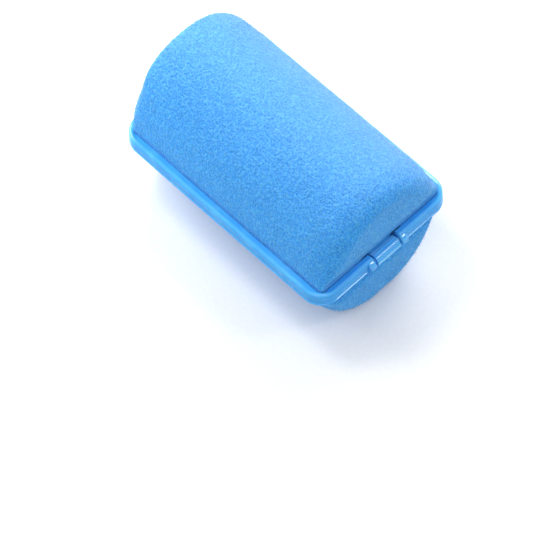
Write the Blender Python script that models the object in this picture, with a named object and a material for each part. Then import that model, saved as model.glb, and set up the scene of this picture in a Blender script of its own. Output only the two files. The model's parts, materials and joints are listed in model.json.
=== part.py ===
"""Sponge hair roller: a foam cylinder on a plastic spine, gripped by a hinged clamp loop.

The loop lies closed round the foam's middle. X runs along the roller with the hinge at +X and the
finger tab at -X, Y runs across it, and Z is up. Z = 0 is the surface that the foam stands on.
"""
import math

import bmesh
import bpy

MM = 0.001

# Clamp loop, measured over its outer faces
LOOP_LENGTH = 70.4 * MM
LOOP_WIDTH = 45.0 * MM
LOOP_CORNER_RADIUS = 5.5 * MM
LOOP_INNER_CORNER_RADIUS = 1.2 * MM
SIDE_BAR_THICKNESS = 2.35 * MM
END_BAR_THICKNESS = 2.25 * MM
BAR_HEIGHT = 4.2 * MM
CORNER_STEPS = 10

# Bar section: how far each level of the outer face lies in from the foot bead, and its height
FOOT_CHAMFER = 0.14 * MM
FOOT_BEAD_HEIGHTS = (-1.96 * MM, -1.72 * MM)
FOOT_GROOVE_DEPTH = 0.22 * MM
FOOT_GROOVE_HEIGHTS = (-1.6 * MM, -1.44 * MM)
BAND_DEPTH = 0.12 * MM
BAND_HEIGHTS = (-1.32 * MM, 0.55 * MM)
BAND_GROOVE_DEPTH = 0.34 * MM
BAND_GROOVE_HEIGHTS = (0.72 * MM, 1.02 * MM)
CROWN_SIDE_DEPTH = 0.16 * MM
CROWN_SIDE_HEIGHTS = (1.24 * MM, 1.58 * MM)
CROWN_SHOULDER = (0.42 * MM, 1.94 * MM)
CROWN_TOP_DEPTH = 0.82 * MM
CROWN_BACK = (1.2 * MM, 1.98 * MM)
CROWN_VALLEY = (1.42 * MM, 1.86 * MM)
INNER_TOP = (0.3 * MM, 1.74 * MM)
INNER_EDGE_HEIGHT = 1.5 * MM
INNER_FOOT_HEIGHT = -1.8 * MM

# Finger tab on the free end of the loop
TAB_RADIUS = 7.2 * MM
TAB_CENTRE_OUT = 1.6 * MM
TAB_FILLET_RADIUS = 1.3 * MM
TAB_THICKNESS = 1.9 * MM
TAB_EDGE_ROUND = 0.5 * MM
TAB_ROOT_DEPTH = 0.8 * MM
TAB_ARC_STEPS = 40
TAB_FILLET_STEPS = 6
TAB_EDGE_STEPS = 3

# Barrel hinge: the spine's knuckle turns between the loop's two ears
HINGE_INSET = 0.8 * MM
HINGE_DROP = 0.3 * MM
KNUCKLE_LENGTH = 7.6 * MM
KNUCKLE_RADIUS = 1.6 * MM
KNUCKLE_RIBS = 14
KNUCKLE_RIB_HEIGHT = 0.2 * MM
KNUCKLE_STEPS = 112
EAR_RADIUS = 2.0 * MM
EAR_LENGTH = 2.0 * MM
EAR_RIM_ROUND = 0.6 * MM
ROD_RIM_STEPS = 3
EAR_BAR_OVERLAP = 0.25 * MM
EAR_STEPS = 40
STUB_RADIUS = 0.85 * MM
STUB_LENGTH = 1.0 * MM
STUB_ROOT = 0.6 * MM
BORE_RADIUS = 0.95 * MM
BORE_STEPS = 32
HINGE_SIDE_GAP = 0.6 * MM

# Spine
BLADE_WIDTH = 11.0 * MM
BLADE_NECK_WIDTH = 7.2 * MM
BLADE_THICKNESS = 1.8 * MM
BLADE_EDGE = 0.3 * MM
BLADE_TAPER_LENGTH = 4.0 * MM
BLADE_CORNER = 1.2 * MM
HOOK_WIDTH = 7.0 * MM
HOOK_POST_THICKNESS = 1.6 * MM
HOOK_SEAT_THICKNESS = 1.3 * MM
HOOK_SEAT_REACH = 0.9 * MM
HOOK_NIB_THICKNESS = 0.8 * MM
HOOK_NIB_OVERHANG = 0.25 * MM
HOOK_EDGE = 0.3 * MM

# Foam, an oval pinched at mid-height by the loop, and swollen above and below it
FOAM_HALF_WIDTH = 20.3 * MM
FOAM_HALF_HEIGHT = 22.8 * MM
FOAM_STAND_HEIGHT = 22.2 * MM
FOAM_EDGE_RADIUS = 2.6 * MM
FOAM_EDGE_STEPS = 6
FOAM_ROUND_STEPS = 96
FOAM_END_SWELL = 1.4 * MM
FOAM_SWELL_START = 2.6 * MM
FOAM_SIDE_SWELL_END = 4.2 * MM
FOAM_END_SWELL_END = 9.0 * MM

# Space between neighbouring pieces
GAP = 0.3 * MM
CUTTER_OVERRUN = 5.0 * MM

# Derived positions, from the middle of the loop's outer rectangle
HALF_LENGTH = LOOP_LENGTH / 2
HALF_WIDTH = LOOP_WIDTH / 2
INNER_HALF_LENGTH = HALF_LENGTH - END_BAR_THICKNESS
INNER_HALF_WIDTH = HALF_WIDTH - SIDE_BAR_THICKNESS
HALF_BAR = BAR_HEIGHT / 2
HINGE_X = HALF_LENGTH - HINGE_INSET
HINGE_Z = -HINGE_DROP
EAR_START = KNUCKLE_LENGTH / 2 + HINGE_SIDE_GAP
TAB_REACH = TAB_CENTRE_OUT + TAB_RADIUS
EAR_REACH = HINGE_X + EAR_RADIUS - HALF_LENGTH
FOAM_PINCH_WIDTH = INNER_HALF_WIDTH - GAP
FOAM_HALF_LENGTH = INNER_HALF_LENGTH - GAP
HOOK_FACE_X = GAP - INNER_HALF_LENGTH
ORIGIN_X = (TAB_REACH - EAR_REACH) / 2

PLASTIC_BLUE = (0.080, 0.420, 0.870, 1.0)
SPINE_BLUE = (0.070, 0.390, 0.840, 1.0)
FOAM_BLUE = (0.062, 0.350, 0.900, 1.0)


def clear_scene():
    """Remove whatever the opened file holds."""
    for old in list(bpy.data.objects):
        bpy.data.objects.remove(old, do_unlink=True)


def make_material(name, colour, roughness):
    """One plain Principled material."""
    material = bpy.data.materials.new(name)
    material.use_nodes = True
    shader = material.node_tree.nodes["Principled BSDF"]
    shader.inputs["Base Color"].default_value = colour
    shader.inputs["Roughness"].default_value = roughness
    shader.inputs["Metallic"].default_value = 0.0
    material.diffuse_color = colour
    return material


def make_object(name, bm, material, origin):
    """Turn a bmesh, drawn from the middle of the loop, into an object with its origin at origin."""
    bmesh.ops.translate(bm, verts=bm.verts, vec=[-value for value in origin])
    bmesh.ops.recalc_face_normals(bm, faces=bm.faces)
    mesh = bpy.data.meshes.new(name)
    bm.to_mesh(mesh)
    bm.free()
    mesh.materials.append(material)
    obj = bpy.data.objects.new(name, mesh)
    obj.location = (ORIGIN_X + origin[0], origin[1], FOAM_STAND_HEIGHT + origin[2])
    bpy.context.collection.objects.link(obj)
    return obj


def add_boolean(obj, tool, operation):
    """Join or cut obj with a hidden tool object."""
    tool.hide_render = True
    tool.display_type = "WIRE"
    modifier = obj.modifiers.new(f"{operation.lower()}_{tool.name}", "BOOLEAN")
    modifier.operation = operation
    modifier.solver = "EXACT"
    modifier.object = tool


def shade_by_angle(obj, degrees):
    """Smooth the round faces and keep the edges sharper than the given angle."""
    limit = math.radians(degrees)
    bm = bmesh.new()
    bm.from_mesh(obj.data)
    for face in bm.faces:
        face.smooth = True
    for edge in bm.edges:
        edge.smooth = len(edge.link_faces) == 2 and edge.calc_face_angle() < limit
    bm.to_mesh(obj.data)
    bm.free()


def loft(rings, closed_path=False):
    """Skin a list of equal rings of points, and cap the two ends when the path is open."""
    bm = bmesh.new()
    layers = [[bm.verts.new(point) for point in ring] for ring in rings]
    count = len(rings[0])
    spans = len(layers) if closed_path else len(layers) - 1
    for index in range(spans):
        first = layers[index]
        second = layers[(index + 1) % len(layers)]
        for step in range(count):
            after = (step + 1) % count
            bm.faces.new((first[step], first[after], second[after], second[step]))
    if not closed_path:
        bm.faces.new(layers[0])
        bm.faces.new(layers[-1])
    return bm


def box(low, high):
    """A box between two corners."""
    corners = ((low[0], low[1]), (high[0], low[1]), (high[0], high[1]), (low[0], high[1]))
    return loft([[(x, y, z) for x, y in corners] for z in (low[2], high[2])])


def rod(radius, y_start, y_end, steps, rounding=0.0):
    """A round rod along Y on the hinge axis, with both of its rims rounded over."""
    direction = math.copysign(1.0, y_end - y_start)
    stations = [(y_start, radius), (y_end, radius)]
    if rounding > 0.0:
        angles = [math.pi / 2 * step / ROD_RIM_STEPS for step in range(ROD_RIM_STEPS + 1)]
        rim = [(rounding * (1 - math.sin(angle)), rounding * (1 - math.cos(angle))) for angle in angles]
        stations = [(y_start + direction * back, radius - inset) for back, inset in rim[::-1]]
        stations += [(y_end - direction * back, radius - inset) for back, inset in rim]
    rings = []
    for y, ring_radius in stations:
        angles = [2.0 * math.pi * (step + 0.5) / steps for step in range(steps)]
        rings.append([(HINGE_X + ring_radius * math.cos(angle), y, HINGE_Z + ring_radius * math.sin(angle))
                      for angle in angles])
    return loft(rings)


def cut_box(obj, name, low, high, material, origin):
    """Cut a box-shaped recess in an object."""
    add_boolean(obj, make_object(name, box(low, high), material, origin), "DIFFERENCE")


# ---------------------------------------------------------------- clamp loop

def bar_section():
    """Points round a bar's section as (side, depth, height): side 0 is the inner face, 1 the outer."""
    inner_foot_depth = HALF_BAR + INNER_FOOT_HEIGHT
    section = [(1, CROWN_TOP_DEPTH, HALF_BAR), (1, *CROWN_SHOULDER)]
    section += [(1, CROWN_SIDE_DEPTH, height) for height in CROWN_SIDE_HEIGHTS[::-1]]
    section += [(1, BAND_GROOVE_DEPTH, height) for height in BAND_GROOVE_HEIGHTS[::-1]]
    section += [(1, BAND_DEPTH, height) for height in BAND_HEIGHTS[::-1]]
    section += [(1, FOOT_GROOVE_DEPTH, height) for height in FOOT_GROOVE_HEIGHTS[::-1]]
    section += [(1, 0.0, height) for height in FOOT_BEAD_HEIGHTS[::-1]]
    section += [(1, FOOT_CHAMFER, -HALF_BAR), (0, inner_foot_depth, -HALF_BAR), (0, 0.0, INNER_FOOT_HEIGHT)]
    section += [(0, 0.0, INNER_EDGE_HEIGHT), (0, *INNER_TOP), (1, *CROWN_VALLEY), (1, *CROWN_BACK)]
    return section


def corner_stations():
    """Stations round the four corners: outer point, inner point and the outward direction."""
    outer_centre = (HALF_LENGTH - LOOP_CORNER_RADIUS, HALF_WIDTH - LOOP_CORNER_RADIUS)
    inner_centre = (INNER_HALF_LENGTH - LOOP_INNER_CORNER_RADIUS, INNER_HALF_WIDTH - LOOP_INNER_CORNER_RADIUS)
    signs = ((1, 1), (-1, 1), (-1, -1), (1, -1))
    stations = []
    for quarter, (sign_x, sign_y) in enumerate(signs):
        for step in range(CORNER_STEPS + 1):
            angle = math.pi / 2 * (quarter + step / CORNER_STEPS)
            out = (math.cos(angle), math.sin(angle))
            outer = (sign_x * outer_centre[0] + LOOP_CORNER_RADIUS * out[0],
                     sign_y * outer_centre[1] + LOOP_CORNER_RADIUS * out[1])
            inner = (sign_x * inner_centre[0] + LOOP_INNER_CORNER_RADIUS * out[0],
                     sign_y * inner_centre[1] + LOOP_INNER_CORNER_RADIUS * out[1])
            stations.append((outer, inner, out))
    return stations


def section_point(station, side, depth, height):
    """One point of the bar's section at a station of the loop."""
    outer, inner, out = station
    push = depth * (1.0 - 2.0 * side)
    return tuple(inner[k] + (outer[k] - inner[k]) * side + push * out[k] for k in (0, 1)) + (height,)


def loop_ring():
    """The closed rounded rectangle of bars."""
    section = bar_section()
    rings = [[section_point(station, *point) for point in section] for station in corner_stations()]
    return loft(rings, closed_path=True)


def arc(centre, radius, start, end, steps):
    """Points on an arc, from angle start to angle end."""
    angles = [start + (end - start) * step / steps for step in range(steps + 1)]
    return [(centre[0] + radius * math.cos(angle), centre[1] + radius * math.sin(angle)) for angle in angles]


def tab_outline(inset):
    """The finger tab's plan: a half disc whose sides flare into the end bar."""
    root_x = -HALF_LENGTH
    radius = TAB_RADIUS - inset
    flare = TAB_FILLET_RADIUS + inset
    flare_y = TAB_RADIUS + TAB_FILLET_RADIUS
    flare_x = root_x - TAB_FILLET_RADIUS
    right_angle = math.pi / 2
    outline = [(root_x + TAB_ROOT_DEPTH, flare_y)]
    outline += arc((flare_x, flare_y), flare, 0.0, -right_angle, TAB_FILLET_STEPS)
    outline += arc((root_x - TAB_CENTRE_OUT, 0.0), radius, right_angle, 3 * right_angle, TAB_ARC_STEPS)
    outline += arc((flare_x, -flare_y), flare, right_angle, 0.0, TAB_FILLET_STEPS)
    outline.append((root_x + TAB_ROOT_DEPTH, -flare_y))
    return outline


def finger_tab():
    """The flat tab with its rim rounded over, above and below."""
    half = TAB_THICKNESS / 2
    rings = []
    for side in (-1, 1):
        for step in range(TAB_EDGE_STEPS + 1):
            angle = math.pi / 2 * (1 - step / TAB_EDGE_STEPS if side < 0 else step / TAB_EDGE_STEPS)
            inset = TAB_EDGE_ROUND * (1 - math.cos(angle))
            height = side * (half - TAB_EDGE_ROUND * (1 - math.sin(angle)))
            rings.append([(x, y, height) for x, y in tab_outline(inset)])
    return loft(rings)


def build_clamp_loop(material):
    """The hinged loop, with its ears and finger tab; its origin is on the hinge axis."""
    origin = (HINGE_X, 0.0, HINGE_Z)
    loop = make_object("clamp_loop", loop_ring(), material, origin)
    slot_half = EAR_START + EAR_BAR_OVERLAP
    slot_low = (INNER_HALF_LENGTH - CUTTER_OVERRUN, -slot_half, -CUTTER_OVERRUN)
    slot_high = (HALF_LENGTH + CUTTER_OVERRUN, slot_half, CUTTER_OVERRUN)
    cut_box(loop, "knuckle_slot", slot_low, slot_high, material, origin)
    for name, side in (("near", -1), ("far", 1)):
        ear_end = side * (EAR_START + EAR_LENGTH)
        ear = rod(EAR_RADIUS, side * EAR_START, ear_end, EAR_STEPS, EAR_RIM_ROUND)
        add_boolean(loop, make_object(f"ear_{name}", ear, material, origin), "UNION")
        bore_start = side * (EAR_START - HINGE_SIDE_GAP / 2)
        bore_end = side * (KNUCKLE_LENGTH / 2 + STUB_LENGTH + GAP)
        bore = rod(BORE_RADIUS, bore_start, bore_end, BORE_STEPS)
        add_boolean(loop, make_object(f"bore_{name}", bore, material, origin), "DIFFERENCE")
    add_boolean(loop, make_object("finger_tab", finger_tab(), material, origin), "UNION")
    shade_by_angle(loop, 40.0)
    return loop


# ---------------------------------------------------------------- spine

def blade_outline(inset):
    """The blade's plan: square to the hook, with a neck towards the knuckle."""
    half = BLADE_WIDTH / 2 - inset
    neck = BLADE_NECK_WIDTH / 2 - inset
    start = HOOK_FACE_X + HOOK_POST_THICKNESS / 2
    shoulder = HINGE_X - KNUCKLE_RADIUS - GAP - inset
    taper = shoulder - BLADE_TAPER_LENGTH
    side = [(start, half - BLADE_CORNER), (start + BLADE_CORNER, half), (taper, half), (shoulder, neck),
            (HINGE_X, neck)]
    return side + [(x, -y) for x, y in reversed(side)]


def blade():
    """The flat strip, with its long edges bevelled."""
    half = BLADE_THICKNESS / 2
    levels = ((-half, BLADE_EDGE), (-half + BLADE_EDGE, 0.0), (half - BLADE_EDGE, 0.0), (half, BLADE_EDGE))
    return loft([[(x, y, HINGE_Z + height) for x, y in blade_outline(inset)] for height, inset in levels])


def knuckle():
    """The barrel between the ears, with fine ribs along it."""
    ring = []
    for step in range(KNUCKLE_STEPS):
        angle = 2.0 * math.pi * step / KNUCKLE_STEPS
        ridge = max(0.0, math.cos(KNUCKLE_RIBS * angle))
        radius = KNUCKLE_RADIUS + KNUCKLE_RIB_HEIGHT * ridge
        ring.append((HINGE_X + radius * math.cos(angle), HINGE_Z + radius * math.sin(angle)))
    half = KNUCKLE_LENGTH / 2
    return loft([[(x, y, z) for x, z in ring] for y in (-half, half)])


def hook():
    """The catch at the free end: a seat below the end bar, a post inside it and a nib above it."""
    face = HOOK_FACE_X
    back = face + HOOK_POST_THICKNESS
    seat_end = -(HALF_LENGTH + HOOK_SEAT_REACH)
    seat_top = -(HALF_BAR + GAP)
    seat_bottom = seat_top - HOOK_SEAT_THICKNESS
    nib_bottom = HALF_BAR + GAP
    nib_top = nib_bottom + HOOK_NIB_THICKNESS
    nib_end = face - GAP - HOOK_NIB_OVERHANG
    outline = (
        (back, seat_bottom), (seat_end + HOOK_EDGE, seat_bottom), (seat_end, seat_bottom + HOOK_EDGE),
        (seat_end, seat_top - HOOK_EDGE), (seat_end + HOOK_EDGE, seat_top), (face, seat_top),
        (face, nib_bottom), (nib_end, nib_bottom), (nib_end, nib_bottom + HOOK_EDGE),
        (face, nib_top), (back - HOOK_EDGE, nib_top), (back, nib_top - HOOK_EDGE),
    )
    half = HOOK_WIDTH / 2
    return loft([[(x, y, z) for x, z in outline] for y in (-half, half)])


def build_spine(material):
    """The strip that carries the foam, with the hinge knuckle and the catch."""
    origin = (0.0, 0.0, HINGE_Z)
    spine = make_object("spine", blade(), material, origin)
    add_boolean(spine, make_object("knuckle_barrel", knuckle(), material, origin), "UNION")
    for name, side in (("near", -1), ("far", 1)):
        start = side * (KNUCKLE_LENGTH / 2 - STUB_ROOT)
        stub = rod(STUB_RADIUS, start, side * (KNUCKLE_LENGTH / 2 + STUB_LENGTH), BORE_STEPS)
        add_boolean(spine, make_object(f"stub_{name}", stub, material, origin), "UNION")
    add_boolean(spine, make_object("catch_hook", hook(), material, origin), "UNION")
    shade_by_angle(spine, 40.0)
    return spine


# ---------------------------------------------------------------- foam

def swell(height, full):
    """0 beside the bars, rising smoothly to 1 at the height full and beyond."""
    share = (abs(height) - FOAM_SWELL_START) / (full - FOAM_SWELL_START)
    share = min(1.0, max(0.0, share))
    return share * share * (3.0 - 2.0 * share)


def foam_section(inset):
    """Pinched oval section from the right of the standing flat, over the top, to its left."""
    half_height = FOAM_HALF_HEIGHT - inset
    start = -math.asin((FOAM_STAND_HEIGHT - inset) / half_height)
    sweep = math.pi - 2.0 * start
    section = []
    for step in range(FOAM_ROUND_STEPS + 1):
        angle = start + sweep * step / FOAM_ROUND_STEPS
        z = half_height * math.sin(angle)
        slack = FOAM_HALF_WIDTH - FOAM_PINCH_WIDTH
        limit = FOAM_PINCH_WIDTH + slack * swell(z, FOAM_SIDE_SWELL_END) - inset
        y = (FOAM_HALF_WIDTH - inset) * math.cos(angle)
        section.append((max(-limit, min(limit, y)), z))
    return section


def foam_ring(side, back, inset):
    """One ring of the foam near its end on the given side, swollen away from the end bar."""
    ring = []
    for y, z in foam_section(inset):
        reach = FOAM_HALF_LENGTH - back + FOAM_END_SWELL * swell(z, FOAM_END_SWELL_END)
        ring.append((side * reach, y, z))
    return ring


def foam_body():
    """The foam before its slit is cut, with its two rims rounded and its ends closed in level strips."""
    rim = []
    for step in range(FOAM_EDGE_STEPS + 1):
        angle = math.pi / 2 * step / FOAM_EDGE_STEPS
        rim.append((FOAM_EDGE_RADIUS * (1 - math.sin(angle)), FOAM_EDGE_RADIUS * (1 - math.cos(angle))))
    rings = [foam_ring(-1, back, inset) for back, inset in rim[::-1]]
    rings += [foam_ring(1, back, inset) for back, inset in rim]
    bm = bmesh.new()
    layers = [[bm.verts.new(point) for point in ring] for ring in rings]
    count = len(rings[0])
    for first, second in zip(layers, layers[1:]):
        for step in range(count):
            after = (step + 1) % count
            bm.faces.new((first[step], first[after], second[after], second[step]))
    for cap in (layers[0], layers[-1]):
        for step in range(count // 2):
            strip = (cap[step], cap[step + 1], cap[count - 2 - step], cap[count - 1 - step])
            bm.faces.new(tuple(dict.fromkeys(strip)))
    return bm


def build_foam(material):
    """The foam cylinder, with a slit for the blade and a recess for the catch and for the hinge."""
    origin = (0.0, 0.0, 0.0)
    foam = make_object("foam_roll", foam_body(), material, origin)
    far_end = HALF_LENGTH + CUTTER_OVERRUN
    slit_half = BLADE_WIDTH / 2 + GAP
    slit_height = BLADE_THICKNESS / 2 + GAP
    cut_box(foam, "foam_slit", (-far_end, -slit_half, HINGE_Z - slit_height),
            (far_end, slit_half, HINGE_Z + slit_height), material, origin)
    catch_half = HOOK_WIDTH / 2 + GAP
    catch_back = HOOK_FACE_X + HOOK_POST_THICKNESS + GAP
    catch_top = HALF_BAR + 2 * GAP + HOOK_NIB_THICKNESS
    catch_bottom = -(HALF_BAR + 2 * GAP + HOOK_SEAT_THICKNESS)
    cut_box(foam, "catch_recess", (-far_end, -catch_half, catch_bottom),
            (catch_back, catch_half, catch_top), material, origin)
    hinge_half = EAR_START + EAR_LENGTH + GAP
    hinge_reach = EAR_RADIUS + GAP
    cut_box(foam, "hinge_recess", (HINGE_X - hinge_reach, -hinge_half, HINGE_Z - hinge_reach),
            (far_end, hinge_half, HINGE_Z + hinge_reach), material, origin)
    shade_by_angle(foam, 40.0)
    return foam


def main():
    """Build the three pieces of the roller."""
    clear_scene()
    build_spine(make_material("spine_plastic", SPINE_BLUE, 0.35))
    build_foam(make_material("foam", FOAM_BLUE, 0.9))
    build_clamp_loop(make_material("loop_plastic", PLASTIC_BLUE, 0.35))


main()
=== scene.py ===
"""Looks of the sponge hair roller: foam, plastic, floor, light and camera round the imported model."""
import json
import math

import bpy
import numpy as np
from mathutils import Matrix, Vector


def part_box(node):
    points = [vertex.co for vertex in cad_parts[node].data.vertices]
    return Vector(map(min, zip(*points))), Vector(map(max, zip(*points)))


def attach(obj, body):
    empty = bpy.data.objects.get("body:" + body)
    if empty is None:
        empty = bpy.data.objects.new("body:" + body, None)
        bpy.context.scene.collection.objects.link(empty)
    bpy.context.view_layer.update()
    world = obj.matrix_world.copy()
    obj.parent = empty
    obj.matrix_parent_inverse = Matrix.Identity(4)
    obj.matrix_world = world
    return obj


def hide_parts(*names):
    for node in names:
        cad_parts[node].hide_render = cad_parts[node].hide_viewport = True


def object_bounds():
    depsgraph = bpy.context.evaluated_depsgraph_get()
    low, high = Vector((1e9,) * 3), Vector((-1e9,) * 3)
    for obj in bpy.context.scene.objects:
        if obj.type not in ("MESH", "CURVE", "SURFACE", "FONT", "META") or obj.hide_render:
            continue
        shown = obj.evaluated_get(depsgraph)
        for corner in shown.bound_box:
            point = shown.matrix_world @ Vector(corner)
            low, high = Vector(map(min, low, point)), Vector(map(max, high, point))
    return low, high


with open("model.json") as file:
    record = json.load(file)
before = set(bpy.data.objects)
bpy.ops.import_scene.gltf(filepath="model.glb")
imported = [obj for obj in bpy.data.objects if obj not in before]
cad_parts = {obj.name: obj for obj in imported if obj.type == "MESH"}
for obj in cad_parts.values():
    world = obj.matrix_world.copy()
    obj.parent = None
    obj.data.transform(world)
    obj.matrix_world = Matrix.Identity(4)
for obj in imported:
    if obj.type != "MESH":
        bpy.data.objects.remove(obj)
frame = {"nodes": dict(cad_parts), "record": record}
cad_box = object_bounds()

MM = 0.001

# Where the CAD puts things. The hinge is a little below the foam's mid-height
HINGE_DROP = 0.3 * MM
foam_low, foam_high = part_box("foam_roll")
hinge = Vector(frame["record"]["behaviour"]["joints"][0]["pos_m"])
centre = Vector(((foam_low.x + foam_high.x) / 2, 0.0, hinge.z + HINGE_DROP))
foam_half_length = (foam_high.x - foam_low.x) / 2
foam_half_width = (foam_high.y - foam_low.y) / 2
foam_half_height = foam_high.z - centre.z

# Foam shape. The loop pinches it at mid-height, and it swells above and below the bars.
# Heights are from mid-height, depths are from an end face, and shares are of the half width
VOXEL = 0.34 * MM
EXTRA_WIDTH = 0.3 * MM
PINCH_END = 2.6 * MM
SIDE_SWELL = 0.45 * MM
SIDE_SWELL_END = 5.0 * MM
END_SWELL = 1.4 * MM
END_SWELL_END = 9.0 * MM
EXTRA_SWELL = 0.25 * MM
BAR_FILL = 0.3 * MM
END_FILL_DEPTHS = (9.0 * MM, 2.0 * MM)
SIDE_FILL_SHARES = (0.6, 0.95)
LEAST_NARROWING = 0.02

# Rounding of its rims and corners. A power of 2 is round, and a higher one is squarer
RIM_RADIUS = 2.6 * MM
ROUND_POWER = 2.0
CORNER_POWER = 4.0
ROUNDING_LENGTH = 7.5 * MM
HINGE_END_ROUNDING = 0.10
TAB_END_ROUNDING = 0.02
TAB_RIM_POWER = 4.0
TAB_RIM_HEIGHTS = (13.0 * MM, 20.0 * MM)
FAR_RIM_HEIGHTS = (3.5 * MM, 7.0 * MM)
FAR_RIM_SHARES = (0.4, 0.75)
TAB_SWELL = 0.65 * MM
TAB_SWELL_DEPTH = 9.0 * MM
LEAST_SHARE = 0.01
LEAST_RADIUS = 1.0 * MM

# Its uneven, pitted skin. The waves die away beside the bars
WAVE_SIZE = 13.0 * MM
WAVE_HEIGHT = 0.18 * MM
WAVE_SEED = 11
BAR_SIDE_SHARES = (0.7, 0.9)
BAR_END_DEPTHS = (4.0 * MM, 2.0 * MM)
PORE_SIZE = 0.85 * MM
PORE_DEPTH = 0.14 * MM
PORE_EDGE = (0.12, 0.55)
PORE_SEED = 23
SKIN_TALLNESS = 1.1
SKIN_SHARE = 0.75
END_SKIN_SHARE = 0.35
END_SKIN_DEPTH = 1.2 * MM

# Its fuzz
FUZZ_COUNT = 24000
FUZZ_SEED = 5
FUZZ_LENGTH = (0.2 * MM, 0.6 * MM)
FUZZ_WIDTH = 0.06 * MM
FUZZ_LEAN = 0.55
FUZZ_ROOT_DEPTH = 0.1 * MM
TAB_FUZZ_EXTRA = 0.7
TAB_FUZZ_DEPTH = 12.0 * MM
BAR_CLEAR_HEIGHT = 3.2 * MM
BAR_CLEAR_SHARE = 0.9
BAR_CLEAR_DEPTH = 1.5 * MM
FLOOR_CLEAR = 1.0 * MM

# The ways the glossier sides of the foam and the plastic face. The plastic's painted shade also darkens its
# sides turned away from UP
FOAM_GLOSS_WAY = (-0.5, 0.45, 0.74)
UP = (0.0, 0.0, 1.0)

# Deep, usual and pale colours of the mouldings
LOOP_COLOURS = ((0.068, 0.43, 0.90), (0.084, 0.47, 0.93), (0.125, 0.54, 0.97))
SPINE_COLOURS = ((0.068, 0.42, 0.89), (0.084, 0.46, 0.92), (0.125, 0.53, 0.96))

# Stage. Each light has a direction from the roller, a distance, a size and a power
FLOOR_HALF_SIZE = 6.0
FLOOR_GAP = 0.02 * MM
WORLD_COLOUR = (0.97, 0.985, 1.0, 1.0)
WORLD_STRENGTH = 0.44
LIGHTS = {
    "key": ((-0.42, 0.8, 0.68), 0.65, 0.5, 3.1),
    "top": ((0.3, -0.36, 0.95), 0.8, 0.6, 1.78),
    "tab_rim": ((-0.88, -0.3, 0.5), 0.2, 0.12, 0.27),
    "end_fill": ((0.62, 0.7, 0.35), 0.6, 0.4, 0.32),
    "crown_glint": ((-0.37, -0.1, 0.92), 0.7, 0.14, 0.9),
    "bead_glint": ((0.54, 0.33, 0.79), 0.7, 0.06, 0.4),
}

# Camera
CAMERA_AZIMUTH = math.radians(47.87)
CAMERA_ELEVATION = math.radians(60.37)
CAMERA_ROLL = math.radians(-2.72)
CAMERA_DISTANCE = 788.7 * MM
CAMERA_LENS = 210.9
CAMERA_SENSOR = 36.0
CAMERA_OFFSET = (2.24 * MM, 27.21 * MM)
CAMERA_CLIP = (0.01, 50.0)


# ---------------------------------------------------------------- nodes

def set_inputs(node, inputs):
    """Set a node's unlinked inputs by name or number."""
    for key, value in inputs.items():
        node.inputs[key].default_value = value


def add_node(tree, kind, settings=None, inputs=None):
    """A shader node with its settings and unlinked inputs."""
    node = tree.nodes.new(kind)
    for key, value in (settings or {}).items():
        setattr(node, key, value)
    set_inputs(node, inputs or {})
    return node


def link(tree, source, output, target, socket):
    """Join one node's output to another's input."""
    tree.links.new(source.outputs[output], target.inputs[socket])


def add_noise(tree, place, **inputs):
    """A noise texture in the object's own space."""
    node = add_node(tree, "ShaderNodeTexNoise", inputs=inputs)
    link(tree, place, "Object", node, "Vector")
    return node


def add_ramp(tree, source, output, stops):
    """A colour ramp with (position, colour) stops, driven by one node's output."""
    node = tree.nodes.new("ShaderNodeValToRGB")
    elements = node.color_ramp.elements
    while len(elements) < len(stops):
        elements.new(0.5)
    for element, (position, colour) in zip(elements, stops):
        element.position = position
        element.color = (*colour, 1.0)
    link(tree, source, output, node, "Fac")
    return node


def grey(value):
    """A neutral colour."""
    return (value, value, value)


def multiply_ramps(tree, first, *others):
    """The colours of several ramps multiplied together."""
    settings = {"data_type": "RGBA", "blend_type": "MULTIPLY"}
    colour = first.outputs["Color"]
    for other in others:
        node = add_node(tree, "ShaderNodeMix", settings, {"Factor": 1.0})
        tree.links.new(colour, node.inputs[6])
        tree.links.new(other.outputs["Color"], node.inputs[7])
        colour = node.outputs[2]
    return colour


def new_material(name):
    """A node material with its Principled shader."""
    material = bpy.data.materials.new(name)
    material.use_nodes = True
    return material, material.node_tree, material.node_tree.nodes["Principled BSDF"]


def facing_ramp(tree, direction, stops):
    """Colours by how far the surface faces one way: 0 is away from it, 1 towards it."""
    place = add_node(tree, "ShaderNodeTexCoord")
    facing = add_node(tree, "ShaderNodeVectorMath", {"operation": "DOT_PRODUCT"}, {1: direction})
    link(tree, place, "Normal", facing, 0)
    share = add_node(tree, "ShaderNodeMapRange", inputs={"From Min": -1.0})
    link(tree, facing, "Value", share, "Value")
    return add_ramp(tree, share, "Result", stops)


# ---------------------------------------------------------------- materials

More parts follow.
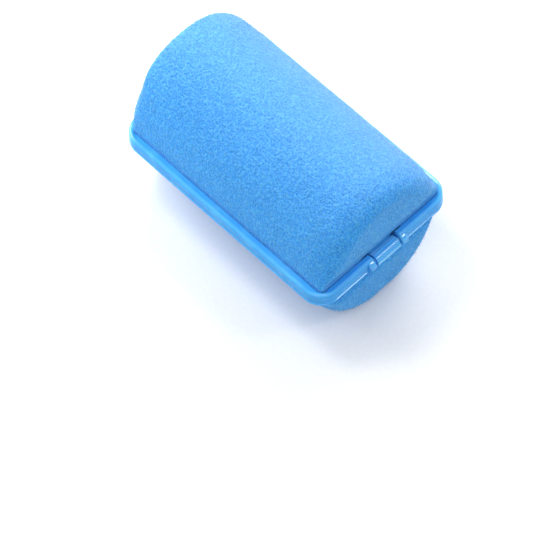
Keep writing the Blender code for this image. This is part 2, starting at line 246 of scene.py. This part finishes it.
def foam_material():
    """Open-cell foam: pale cell walls with painted shade darkening the small pores between them, soft and
    dull.
    """
    material, tree, shader = new_material("foam_cells")
    place = add_node(tree, "ShaderNodeTexCoord")
    warp = add_noise(tree, place, Scale=700.0, Detail=2.0)
    shift = add_node(tree, "ShaderNodeVectorMath", {"operation": "MULTIPLY_ADD"})
    set_inputs(shift, {1: (0.0005, 0.0005, 0.0005)})
    link(tree, warp, "Color", shift, 0)
    link(tree, place, "Object", shift, 2)
    cells = add_node(tree, "ShaderNodeTexVoronoi", {"feature": "F1"}, {"Scale": 1850.0})
    link(tree, shift, "Vector", cells, "Vector")
    fine = add_noise(tree, place, Scale=3600.0, Detail=3.0, Roughness=0.65)
    middle = add_noise(tree, place, Scale=1350.0, Detail=1.0)
    broad = add_noise(tree, place, Scale=160.0, Detail=3.0)

    # Painted shade: the base colour darkens towards the cell centres, where the bump sinks its pits
    pore_shade_to_walls = [(0.05, (0.026, 0.285, 0.9)), (0.38, (0.046, 0.385, 0.99)), (0.8, (0.092, 0.495, 1.0))]
    walls = add_ramp(tree, cells, "Distance", pore_shade_to_walls)
    speckle = add_ramp(tree, fine, "Fac", [(0.32, grey(0.74)), (0.66, grey(1.0))])
    patches = add_ramp(tree, broad, "Fac", [(0.35, grey(0.96)), (0.65, grey(1.0))])
    clumps = add_ramp(tree, middle, "Fac", [(0.36, grey(0.92)), (0.62, grey(1.0))])
    tree.links.new(multiply_ramps(tree, walls, speckle, patches, clumps), shader.inputs["Base Color"])

    height = add_node(tree, "ShaderNodeMath", {"operation": "MULTIPLY_ADD"}, {1: 0.5})
    link(tree, fine, "Fac", height, 0)
    link(tree, cells, "Distance", height, 2)
    bump = add_node(tree, "ShaderNodeBump", inputs={"Strength": 0.62, "Distance": 0.0004})
    link(tree, height, "Value", bump, "Height")
    link(tree, bump, "Normal", shader, "Normal")
    rough = add_ramp(tree, cells, "Distance", [(0.0, grey(0.74)), (0.7, grey(0.6))])
    link(tree, rough, "Color", shader, "Roughness")

    haze = [(0.4, grey(0.06)), (0.6, grey(0.34)), (0.74, grey(0.54)), (0.85, grey(0.8)), (0.93, grey(1.0))]
    shine = facing_ramp(tree, FOAM_GLOSS_WAY, haze)
    link(tree, shine, "Color", shader, "Specular IOR Level")
    set_inputs(shader, {
        "Sheen Weight": 0.18,
        "Sheen Roughness": 0.45,
        "Sheen Tint": (0.9, 0.96, 1.0, 1.0),
        "Subsurface Weight": 0.3,
        "Subsurface Radius": (0.35, 0.7, 1.0),
        "Subsurface Scale": 0.002,
    })
    return material


def plastic_material(name, deep, base, pale):
    """Glossy moulded plastic with a faint flow pattern, fine scuffs and painted shade that darkens its sides
    against its up-facing tops.
    """
    material, tree, shader = new_material(name)
    place = add_node(tree, "ShaderNodeTexCoord")
    flow = add_noise(tree, place, Scale=120.0, Detail=4.0, Distortion=0.8)
    tint = add_ramp(tree, flow, "Fac", [(0.3, deep), (0.52, base), (0.75, pale)])
    # Painted shade: the base colour is darkened where the surface faces sideways or down, so the up-facing
    # tops read lighter
    painted_side_shade = facing_ramp(tree, UP, [(0.55, (0.74, 0.74, 0.84)), (0.8, grey(1.0))])
    tree.links.new(multiply_ramps(tree, tint, painted_side_shade), shader.inputs["Base Color"])

    scuffs = add_noise(tree, place, Scale=900.0, Detail=5.0, Roughness=0.7)
    gloss = add_ramp(tree, scuffs, "Fac", [(0.3, grey(0.13)), (0.75, grey(0.24))])
    link(tree, gloss, "Color", shader, "Roughness")
    bump = add_node(tree, "ShaderNodeBump", inputs={"Strength": 0.12, "Distance": 0.00005})
    link(tree, scuffs, "Fac", bump, "Height")
    link(tree, bump, "Normal", shader, "Normal")
    shine = facing_ramp(tree, UP, [(0.5, grey(0.04)), (0.62, grey(0.7))])
    link(tree, shine, "Color", shader, "Specular IOR Level")
    set_inputs(shader, {
        "IOR": 1.49,
        "Subsurface Weight": 0.5,
        "Subsurface Radius": (0.25, 0.7, 1.0),
        "Subsurface Scale": 0.0015,
    })
    return material


def floor_material():
    """Matt white paper with a faint tooth."""
    material, tree, shader = new_material("floor_paper")
    place = add_node(tree, "ShaderNodeTexCoord")
    grain = add_noise(tree, place, Scale=900.0, Detail=3.0)
    tone = add_ramp(tree, grain, "Fac", [(0.3, grey(0.9)), (0.7, grey(0.93))])
    link(tree, tone, "Color", shader, "Base Color")
    set_inputs(shader, {"Roughness": 0.9, "Specular IOR Level": 0.1})
    return material


# ---------------------------------------------------------------- foam shape

def smooth_step(value, low, high):
    """0 below low, 1 above high, smooth between."""
    share = np.clip((value - low) / (high - low), 0.0, 1.0)
    return share * share * (3.0 - 2.0 * share)


def end_share(x, start, full):
    """0 further than one depth from either end of the foam, 1 within the other."""
    return smooth_step(np.abs(x), foam_half_length - start, foam_half_length - full)


def side_share(y, shares):
    """0 inside the first share of the foam's half width, 1 outside the second."""
    start, full = shares
    return smooth_step(y, start * foam_half_width, full * foam_half_width)


def lattice_noise(cells, seed):
    """A repeatable number from 0 to 1 for each integer cell."""
    x, y, z = np.moveaxis(cells.astype(np.int64), -1, 0)
    mixed = x * 73856093 ^ y * 19349663 ^ z * 83492791 ^ seed * 2654435761
    mixed = (mixed ^ (mixed >> 13)) * 1274126177
    mixed = (mixed ^ (mixed >> 16)) & 0xFFFFFF
    return mixed / float(0xFFFFFF)


def soft_noise(points, size, seed):
    """Smooth noise from -1 to 1 at each point."""
    scaled = points / size
    corner = np.floor(scaled)
    share = scaled - corner
    share = share * share * (3.0 - 2.0 * share)
    total = np.zeros(len(points))
    for x in (0, 1):
        for y in (0, 1):
            for z in (0, 1):
                step = np.array((x, y, z))
                weight = np.prod(np.where(step, share, 1.0 - share), axis=1)
                total += weight * lattice_noise(corner + step, seed)
    return 2.0 * total - 1.0


def pore_distance(points, size, seed):
    """Distance from each point to the nearest of one random spot per cell, in cell sizes."""
    scaled = points / size
    corner = np.floor(scaled)
    nearest = np.full(len(points), np.inf)
    for x in (-1, 0, 1):
        for y in (-1, 0, 1):
            for z in (-1, 0, 1):
                cell = corner + np.array((x, y, z))
                spot = np.stack([lattice_noise(cell, seed + k) for k in (1, 2, 3)], axis=1)
                nearest = np.minimum(nearest, np.linalg.norm(cell + spot - scaled, axis=1))
    return nearest


def remeshed(name, source, voxel):
    """A fine, even copy of a node's mesh."""
    piece = bpy.data.objects.new(name, source.data.copy())
    bpy.context.scene.collection.objects.link(piece)
    remesh = piece.modifiers.new("even", "REMESH")
    remesh.mode = "VOXEL"
    remesh.voxel_size = voxel
    graph = bpy.context.evaluated_depsgraph_get()
    mesh = bpy.data.meshes.new_from_object(piece.evaluated_get(graph))
    piece.modifiers.clear()
    piece.data = mesh
    return piece


def read_points(mesh, what):
    """Vertex positions or normals as an array."""
    values = np.empty(len(mesh.vertices) * 3)
    getattr(mesh, what).foreach_get("co" if what == "vertices" else "vector", values)
    return values.reshape(-1, 3)


def rounding_reach(along, across, power):
    """How far a rim's rounding reaches at each point's angle, against a plain round one's 1."""
    angle = np.arctan2(across, along)
    return (np.abs(np.cos(angle)) ** power + np.abs(np.sin(angle)) ** power) ** (-1.0 / power)


def press_foam(points):
    """Fill the loop out to its bars and into its corners, and swell a little more past them."""
    x, y, z = points.T
    height = np.abs(z)
    side_free = smooth_step(height, PINCH_END, SIDE_SWELL_END)
    end_free = smooth_step(height, PINCH_END, END_SWELL_END)
    narrowing = np.clip(1.0 - (z / foam_half_height) ** 2, LEAST_NARROWING, 1.0)
    oval = (foam_half_width + EXTRA_WIDTH) * np.sqrt(narrowing)
    side_reach = np.minimum(oval, foam_half_width + EXTRA_WIDTH - SIDE_SWELL * (1.0 - side_free))
    end_reach = foam_half_length - END_SWELL * (1.0 - end_free)

    along = np.abs(x) - (end_reach - RIM_RADIUS)
    across = np.abs(y) - (side_reach - RIM_RADIUS)
    in_corner = (along > 0.0) & (across > 0.0)
    power = ROUND_POWER + CORNER_POWER * (1.0 - end_free)
    stretch = np.where(in_corner, rounding_reach(along, across, power) - 1.0, 0.0)

    near_end = end_share(x, *END_FILL_DEPTHS)
    near_side = side_share(np.abs(y), SIDE_FILL_SHARES)
    fill = BAR_FILL * (1.0 - side_free)
    to_rim = np.clip(1.0 - (end_reach - np.abs(x)) / ROUNDING_LENGTH, 0.0, 1.0) ** 2
    rounding = np.where(x > 0.0, HINGE_END_ROUNDING, TAB_END_ROUNDING) * to_rim * end_free
    moved = points.copy()
    moved[:, 1:] *= (1.0 - rounding)[:, None]
    moved[:, 0] += np.sign(x) * (along * stretch + (fill + EXTRA_SWELL * end_free) * near_end)
    moved[:, 1] += np.sign(y) * (across * stretch + fill * near_side)
    return moved


def square_rim(points):
    """Square up the top, the bottom and the far side of the tab end's rim, and swell its top and bottom."""
    x, y, z = points.T
    share = np.sqrt((y / foam_half_width) ** 2 + (z / foam_half_height) ** 2)
    radius = np.hypot(y, z)
    outline = radius / np.maximum(share, LEAST_SHARE)
    along = -x - (foam_half_length - RIM_RADIUS)
    across = radius - (outline - RIM_RADIUS)
    in_rim = (along > 0.0) & (across > 0.0)
    free = smooth_step(np.abs(z), *TAB_RIM_HEIGHTS)
    far = side_share(y, FAR_RIM_SHARES) * smooth_step(z, *FAR_RIM_HEIGHTS)
    power = ROUND_POWER + TAB_RIM_POWER * np.maximum(free, far)
    stretch = np.where(in_rim, rounding_reach(along, across, power) - 1.0, 0.0)
    near_tab = smooth_step(-x, foam_half_length - TAB_SWELL_DEPTH, foam_half_length)
    moved = points.copy()
    moved[:, 0] -= along * stretch + TAB_SWELL * free * near_tab
    moved[:, 1:] *= (1.0 + across * stretch / np.maximum(radius, LEAST_RADIUS))[:, None]
    return moved


def bar_share(points):
    """1 where the loop's bars touch the foam and 0 well clear of them."""
    x, y, z = points.T
    at_level = 1.0 - smooth_step(np.abs(z), PINCH_END, END_SWELL_END)
    return at_level * np.maximum(side_share(np.abs(y), BAR_SIDE_SHARES), end_share(x, *BAR_END_DEPTHS))


def outside_share(points):
    """1 on the foam's outer skin and 0 in the slot that holds the spine."""
    x, y, z = points.T
    radius = np.sqrt((y / foam_half_width) ** 2 + (z / (SKIN_TALLNESS * foam_half_width)) ** 2)
    on_end = (np.abs(x) > foam_half_length - END_SKIN_DEPTH) & (radius > END_SKIN_SHARE)
    return np.where((radius > SKIN_SHARE) | on_end, 1.0, 0.0)


def build_foam(material):
    """The foam cylinder: pressed, slightly uneven, pitted all over and fuzzy with cut cell walls."""
    piece = remeshed("foam_cylinder", frame["nodes"]["foam_roll"], VOXEL)
    mesh = piece.data
    points = read_points(mesh, "vertices") - np.array(centre)
    normals = read_points(mesh, "vertex_normals")
    skin = outside_share(points)
    points = press_foam(square_rim(points))
    wave = soft_noise(points, WAVE_SIZE, WAVE_SEED) * WAVE_HEIGHT * (1.0 - bar_share(points))
    pit = 1.0 - smooth_step(pore_distance(points, PORE_SIZE, PORE_SEED), *PORE_EDGE)
    points += normals * (skin * (wave - PORE_DEPTH * pit))[:, None]
    floor = foam_low.z - centre.z
    points[:, 2] = np.maximum(points[:, 2], floor)

    spikes, faces = fuzz(points, normals, skin, floor)
    world = np.vstack([points, spikes]) + np.array(centre)
    quads = [tuple(face.vertices) for face in mesh.polygons]
    triangles = (faces + len(points)).tolist()
    whole = bpy.data.meshes.new("foam_cylinder")
    whole.from_pydata(world.tolist(), [], quads + triangles)
    whole.polygons.foreach_set("use_smooth", np.ones(len(whole.polygons), dtype=bool))
    whole.materials.append(material)
    whole.update()
    piece.data = whole
    return piece


def fuzz(points, normals, skin, floor):
    """Tiny stubs of cut cell walls, one closed three-sided splinter each."""
    rng = np.random.default_rng(FUZZ_SEED)
    chosen = rng.choice(len(points), FUZZ_COUNT, replace=False)
    x, y, z = points[chosen].T
    outer = (np.abs(y) > BAR_CLEAR_SHARE * foam_half_width) | (np.abs(x) > foam_half_length - BAR_CLEAR_DEPTH)
    by_bar = (np.abs(z) < BAR_CLEAR_HEIGHT) & outer
    chosen = chosen[(skin[chosen] > 0.5) & ~by_bar & (z > floor + FLOOR_CLEAR)]
    root = points[chosen]
    out = normals[chosen]
    way = out + rng.normal(0.0, FUZZ_LEAN, root.shape)
    way /= np.linalg.norm(way, axis=1)[:, None]
    length = rng.uniform(*FUZZ_LENGTH, len(root))
    near_tab = smooth_step(-root[:, 0], foam_half_length - TAB_FUZZ_DEPTH, foam_half_length)
    length *= 1.0 + TAB_FUZZ_EXTRA * near_tab
    tip = root + way * length[:, None]
    side = np.cross(way, rng.normal(0.0, 1.0, root.shape))
    side /= np.linalg.norm(side, axis=1)[:, None]
    other = np.cross(way, side)
    base = root - out * FUZZ_ROOT_DEPTH
    corners = []
    for turn in range(3):
        angle = 2.0 * math.pi * turn / 3
        corners.append(base + FUZZ_WIDTH * (side * math.cos(angle) + other * math.sin(angle)))
    spikes = np.stack([*corners, tip], axis=1).reshape(-1, 3)
    start = 4 * np.arange(len(root))
    sides = ((0, 1, 3), (1, 2, 3), (2, 0, 3), (0, 2, 1))
    faces = np.concatenate([np.stack([start + k for k in face], axis=1) for face in sides])
    return spikes, faces


# ---------------------------------------------------------------- stage

def build_floor():
    """A wide flat floor, just under the foam."""
    half = FLOOR_HALF_SIZE
    mesh = bpy.data.meshes.new("floor")
    level = cad_box[0].z - FLOOR_GAP
    corners = [(-half, -half, level), (half, -half, level), (half, half, level), (-half, half, level)]
    mesh.from_pydata(corners, [], [(0, 1, 2, 3)])
    mesh.materials.append(floor_material())
    floor = bpy.data.objects.new("floor", mesh)
    bpy.context.scene.collection.objects.link(floor)


def area_light(name, direction, distance, size, power):
    """A soft square light aimed at the roller."""
    data = bpy.data.lights.new(name, "AREA")
    data.shape = "SQUARE"
    data.size = size
    data.energy = power
    light = bpy.data.objects.new(name, data)
    way = Vector(direction).normalized()
    light.location = centre + way * distance
    light.rotation_mode = "QUATERNION"
    light.rotation_quaternion = way.to_track_quat("Z", "Y")
    bpy.context.scene.collection.objects.link(light)


def build_world():
    """An even pale surround."""
    world = bpy.data.worlds.new("studio")
    world.use_nodes = True
    shade = world.node_tree.nodes["Background"]
    set_inputs(shade, {"Color": WORLD_COLOUR, "Strength": WORLD_STRENGTH})
    bpy.context.scene.world = world


def build_camera():
    """A long-lens camera above the hinge end's near corner, with its small roll."""
    turn, tilt, roll = CAMERA_AZIMUTH, CAMERA_ELEVATION, CAMERA_ROLL
    back = Vector((math.sin(turn) * math.cos(tilt), -math.cos(turn) * math.cos(tilt), math.sin(tilt)))
    level = Vector((math.cos(turn), math.sin(turn), 0.0))
    rise = back.cross(level)
    right = level * math.cos(roll) + rise * math.sin(roll)
    up = rise * math.cos(roll) - level * math.sin(roll)
    data = bpy.data.cameras.new("camera")
    data.sensor_width = CAMERA_SENSOR
    data.lens = CAMERA_LENS
    data.clip_start, data.clip_end = CAMERA_CLIP
    camera = bpy.data.objects.new("camera", data)
    place = centre + back * CAMERA_DISTANCE - right * CAMERA_OFFSET[0] - up * CAMERA_OFFSET[1]
    camera.matrix_world = Matrix((
        (right.x, up.x, back.x, place.x),
        (right.y, up.y, back.y, place.y),
        (right.z, up.z, back.z, place.z),
        (0.0, 0.0, 0.0, 1.0)))
    bpy.context.scene.collection.objects.link(camera)
    bpy.context.scene.camera = camera


def repaint(node, material):
    """Give a CAD node's mesh this one material in place of its old ones."""
    node.data.materials.clear()
    node.data.materials.append(material)


foam = build_foam(foam_material())
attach(foam, "core")
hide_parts("foam_roll")

repaint(frame["nodes"]["clamp_loop"], plastic_material("loop_moulding", *LOOP_COLOURS))
repaint(frame["nodes"]["spine"], plastic_material("spine_moulding", *SPINE_COLOURS))

build_floor()
build_world()
for light_name, (way, distance, size, power) in LIGHTS.items():
    area_light(light_name, way, distance, size, power)
build_camera()

scene = bpy.context.scene
scene.view_settings.view_transform = "Standard"
scene.view_settings.look = "None"
